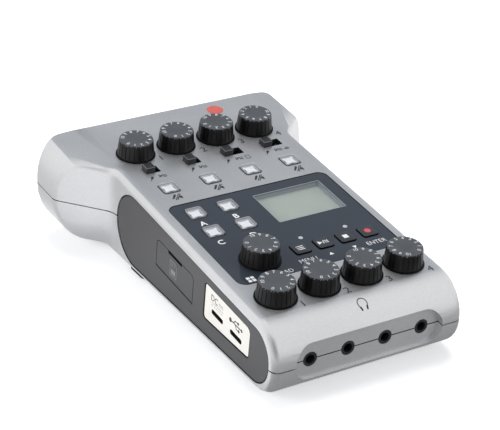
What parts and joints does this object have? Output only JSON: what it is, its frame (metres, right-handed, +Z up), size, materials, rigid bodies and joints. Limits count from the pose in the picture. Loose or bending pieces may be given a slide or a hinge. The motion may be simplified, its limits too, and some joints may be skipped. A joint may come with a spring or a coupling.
{
  "type": "podcast recorder",
  "caption": "Hand-held podcast recorder and mixer: sloping silver body flared at the microphone end, ribbed black knobs, light-up keys, slide switches and a small dark display panel.",
  "frame": {"origin": "on the table under the middle of the body: the centre of the bounding box, at its bottom", "axes": "+X to the right side, +Y from the headphone end at the front to the microphone end at the rear, +Z up"},
  "size_m": [0.112, 0.155, 0.0469],
  "materials": {
    "silver_shell": "satin silver paint",
    "dark_cover": "satin dark grey",
    "port_cream": "satin off-white",
    "panel_gloss": "gloss slate",
    "screen_window": "clear",
    "screen_glass": "grey-green display",
    "status_light": "milky",
    "circuit_board": "solder mask",
    "plated_steel": "plated",
    "inner_black": "moulded",
    "socket_black": "moulded",
    "cell_wrap": "printed wrap, bare",
    "foot_rubber": "matt",
    "screw_steel": "blackened",
    "cap_black": "satin",
    "knob_black": "satin, ribbed",
    "shaft_steel": "turned",
    "key_clear": "translucent grey over a white core",
    "key_grey": "satin"
  },
  "bodies": {
    "recorder": {"upper_shell": "silver_shell", "lower_shell": "silver_shell", "side_cover_left": "dark_cover", "side_cover_right": "dark_cover", "port_plate": "port_cream", "display_panel": "panel_gloss", "screen_window": "screen_window", "screen_module": "screen_glass", "status_lights": "status_light", "control_board": "circuit_board", "main_board": "circuit_board", "potentiometers": "plated_steel", "tact_switches": "inner_black", "switch_bodies": "inner_black", "card_socket": "plated_steel", "usb_sockets": "plated_steel", "phone_socket": "socket_black", "headphone_sockets": "socket_black", "microphone_sockets": "socket_black", "battery_cells": "cell_wrap", "battery_contacts": "plated_steel", "rubber_feet": "foot_rubber", "case_screws": "screw_steel"},
    "volume_1_knob": {"volume_knob_1": "knob_black", "volume_shaft_1": "shaft_steel"},
    "volume_2_knob": {"volume_knob_2": "knob_black", "volume_shaft_2": "shaft_steel"},
    "volume_3_knob": {"volume_knob_3": "knob_black", "volume_shaft_3": "shaft_steel"},
    "volume_4_knob": {"volume_knob_4": "knob_black", "volume_shaft_4": "shaft_steel"},
    "gain_1_knob": {"gain_knob_1": "knob_black", "gain_shaft_1": "shaft_steel"},
    "gain_2_knob": {"gain_knob_2": "knob_black", "gain_shaft_2": "shaft_steel"},
    "gain_3_knob": {"gain_knob_3": "knob_black", "gain_shaft_3": "shaft_steel"},
    "gain_4_knob": {"gain_knob_4": "knob_black", "gain_shaft_4": "shaft_steel"},
    "pad_level_knob": {"pad_level_knob": "knob_black", "pad_level_shaft": "shaft_steel"},
    "input_switch_1": {"input_switch_1": "cap_black"},
    "input_switch_2": {"input_switch_2": "cap_black"},
    "input_switch_3": {"input_switch_3": "cap_black"},
    "input_switch_4": {"input_switch_4": "cap_black"},
    "mute_key_1": {"mute_key_1": "key_clear"},
    "mute_key_2": {"mute_key_2": "key_clear"},
    "mute_key_3": {"mute_key_3": "key_clear"},
    "mute_key_4": {"mute_key_4": "key_clear"},
    "pad_key_a": {"pad_key_a": "key_clear"},
    "pad_key_b": {"pad_key_b": "key_clear"},
    "pad_key_c": {"pad_key_c": "key_clear"},
    "pad_key_d": {"pad_key_d": "key_clear"},
    "menu_key": {"menu_key": "key_grey"},
    "play_key": {"play_key": "key_grey"},
    "stop_key": {"stop_key": "key_grey"},
    "record_key": {"record_key": "key_grey"},
    "card_door": {"card_door": "dark_cover"},
    "power_switch": {"power_switch": "cap_black"},
    "battery_cover": {"battery_cover": "silver_shell"}
  },
  "joints": [
    {"name": "volume_1_turn", "type": "hinge", "parent": "recorder", "child": "volume_1_knob", "pos_m": [-0.0264, -0.05668, 0.02988], "axis": [0, -0.0901, 0.9959], "range_deg": [-208, 92]},
    {"name": "volume_2_turn", "type": "hinge", "parent": "recorder", "child": "volume_2_knob", "pos_m": [-0.0088, -0.05668, 0.02988], "axis": [0, -0.0901, 0.9959], "range_deg": [-224, 76]},
    {"name": "volume_3_turn", "type": "hinge", "parent": "recorder", "child": "volume_3_knob", "pos_m": [0.0088, -0.05668, 0.02988], "axis": [0, -0.0901, 0.9959], "range_deg": [-135, 165]},
    {"name": "volume_4_turn", "type": "hinge", "parent": "recorder", "child": "volume_4_knob", "pos_m": [0.0264, -0.05668, 0.02988], "axis": [0, -0.0901, 0.9959], "range_deg": [-292, 8]},
    {"name": "gain_1_turn", "type": "hinge", "parent": "recorder", "child": "gain_1_knob", "pos_m": [-0.0264, 0.04822, 0.03938], "axis": [0, -0.0901, 0.9959], "range_deg": [-193, 107]},
    {"name": "gain_2_turn", "type": "hinge", "parent": "recorder", "child": "gain_2_knob", "pos_m": [-0.0088, 0.04822, 0.03938], "axis": [0, -0.0901, 0.9959], "range_deg": [-221, 79]},
    {"name": "gain_3_turn", "type": "hinge", "parent": "recorder", "child": "gain_3_knob", "pos_m": [0.0088, 0.04822, 0.03938], "axis": [0, -0.0901, 0.9959], "range_deg": [-167, 133]},
    {"name": "gain_4_turn", "type": "hinge", "parent": "recorder", "child": "gain_4_knob", "pos_m": [0.0264, 0.04822, 0.03938], "axis": [0, -0.0901, 0.9959], "range_deg": [-37, 263]},
    {"name": "pad_level_turn", "type": "hinge", "parent": "recorder", "child": "pad_level_knob", "pos_m": [-0.0194, -0.03428, 0.03191], "axis": [0, -0.0901, 0.9959], "range_deg": [-142, 158]},
    {"name": "input_switch_1_slide", "type": "slide", "parent": "recorder", "child": "input_switch_1", "axis": [1, 0, 0], "range_m": [0, 0.0022]},
    {"name": "input_switch_2_slide", "type": "slide", "parent": "recorder", "child": "input_switch_2", "axis": [1, 0, 0], "range_m": [0, 0.0022]},
    {"name": "input_switch_3_slide", "type": "slide", "parent": "recorder", "child": "input_switch_3", "axis": [1, 0, 0], "range_m": [0, 0.0046]},
    {"name": "input_switch_4_slide", "type": "slide", "parent": "recorder", "child": "input_switch_4", "axis": [1, 0, 0], "range_m": [0, 0.0046]},
    {"name": "mute_key_1_press", "type": "slide", "parent": "recorder", "child": "mute_key_1", "axis": [0, 0.0901, -0.9959], "range_m": [0, 0.0006], "stiffness_N_per_m": 500},
    {"name": "mute_key_2_press", "type": "slide", "parent": "recorder", "child": "mute_key_2", "axis": [0, 0.0901, -0.9959], "range_m": [0, 0.0006], "stiffness_N_per_m": 500},
    {"name": "mute_key_3_press", "type": "slide", "parent": "recorder", "child": "mute_key_3", "axis": [0, 0.0901, -0.9959], "range_m": [0, 0.0006], "stiffness_N_per_m": 500},
    {"name": "mute_key_4_press", "type": "slide", "parent": "recorder", "child": "mute_key_4", "axis": [0, 0.0901, -0.9959], "range_m": [0, 0.0006], "stiffness_N_per_m": 500},
    {"name": "pad_key_a_press", "type": "slide", "parent": "recorder", "child": "pad_key_a", "axis": [0, 0.0901, -0.9959], "range_m": [0, 0.0006], "stiffness_N_per_m": 500},
    {"name": "pad_key_b_press", "type": "slide", "parent": "recorder", "child": "pad_key_b", "axis": [0, 0.0901, -0.9959], "range_m": [0, 0.0006], "stiffness_N_per_m": 500},
    {"name": "pad_key_c_press", "type": "slide", "parent": "recorder", "child": "pad_key_c", "axis": [0, 0.0901, -0.9959], "range_m": [0, 0.0006], "stiffness_N_per_m": 500},
    {"name": "pad_key_d_press", "type": "slide", "parent": "recorder", "child": "pad_key_d", "axis": [0, 0.0901, -0.9959], "range_m": [0, 0.0006], "stiffness_N_per_m": 500},
    {"name": "menu_key_press", "type": "slide", "parent": "recorder", "child": "menu_key", "axis": [0, 0.0901, -0.9959], "range_m": [0, 0.0006], "stiffness_N_per_m": 500},
    {"name": "play_key_press", "type": "slide", "parent": "recorder", "child": "play_key", "axis": [0, 0.0901, -0.9959], "range_m": [0, 0.0006], "stiffness_N_per_m": 500},
    {"name": "stop_key_press", "type": "slide", "parent": "recorder", "child": "stop_key", "axis": [0, 0.0901, -0.9959], "range_m": [0, 0.0006], "stiffness_N_per_m": 500},
    {"name": "record_key_press", "type": "slide", "parent": "recorder", "child": "record_key", "axis": [0, 0.0901, -0.9959], "range_m": [0, 0.0006], "stiffness_N_per_m": 500},
    {"name": "card_door_hinge", "type": "hinge", "parent": "recorder", "child": "card_door", "pos_m": [-0.03825, -0.00673, 0.01372], "axis": [0, -0.9959, -0.0901], "range_deg": [0, 95]},
    {"name": "power_switch_slide", "type": "slide", "parent": "recorder", "child": "power_switch", "axis": [0, 0.9959, 0.0901], "range_m": [-0.002, 0.002]},
    {"name": "battery_cover_hinge", "type": "hinge", "parent": "recorder", "child": "battery_cover", "pos_m": [0, -0.0245, 0.0014], "axis": [-1, 0, 0], "range_deg": [0, 80]}
  ]
}
